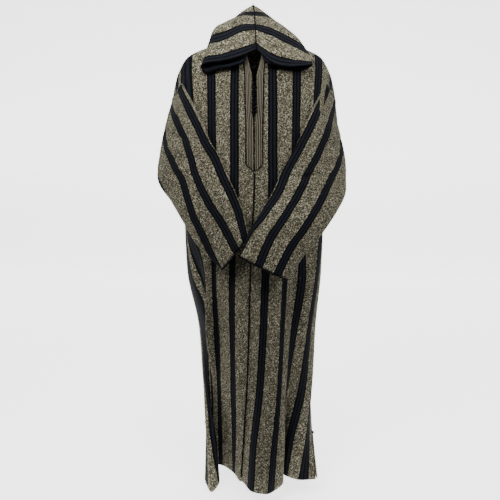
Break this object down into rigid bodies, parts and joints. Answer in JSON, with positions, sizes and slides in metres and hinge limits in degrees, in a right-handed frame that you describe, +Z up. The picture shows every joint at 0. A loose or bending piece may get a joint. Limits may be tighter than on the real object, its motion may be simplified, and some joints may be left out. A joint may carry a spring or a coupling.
{
  "type": "hooded robe",
  "caption": "Ankle-length hooded robe of striped cloth with long sleeves folded in front, knot buttons at the neck and cord-edged seams, filled out as if worn.",
  "frame": {"origin": "base of the neck, level with the shoulder line beside the neckline, where the robe is held by its wearer or a stand", "axes": "the robe faces -Y, +Z is up out of the neck, +X is to the viewer's right"},
  "size_m": [0.5625, 0.4305, 1.4633],
  "materials": {
    "wool": "heathered khaki-taupe wool-look cloth with broad black stripes, matt and slightly napped",
    "braid": "flat taupe braid, matt",
    "cord": "black cord, dull sheen"
  },
  "bodies": {
    "root": {"front_left": "wool", "front_right": "wool", "back": "wool", "sleeve_left": "wool", "sleeve_right": "wool", "hood_left": "wool", "hood_right": "wool", "braid_left": "braid", "braid_right": "braid", "braid_cord_left": "cord", "braid_cord_right": "cord", "front_cord": "cord", "hood_cord": "cord", "cuff_cord_left": "cord", "cuff_cord_right": "cord", "knot_01": "cord", "knot_02": "cord", "knot_03": "cord", "knot_04": "cord", "knot_05": "cord", "knot_06": "cord", "knot_07": "cord", "knot_08": "cord", "knot_09": "cord"}
  },
  "joints": []
}
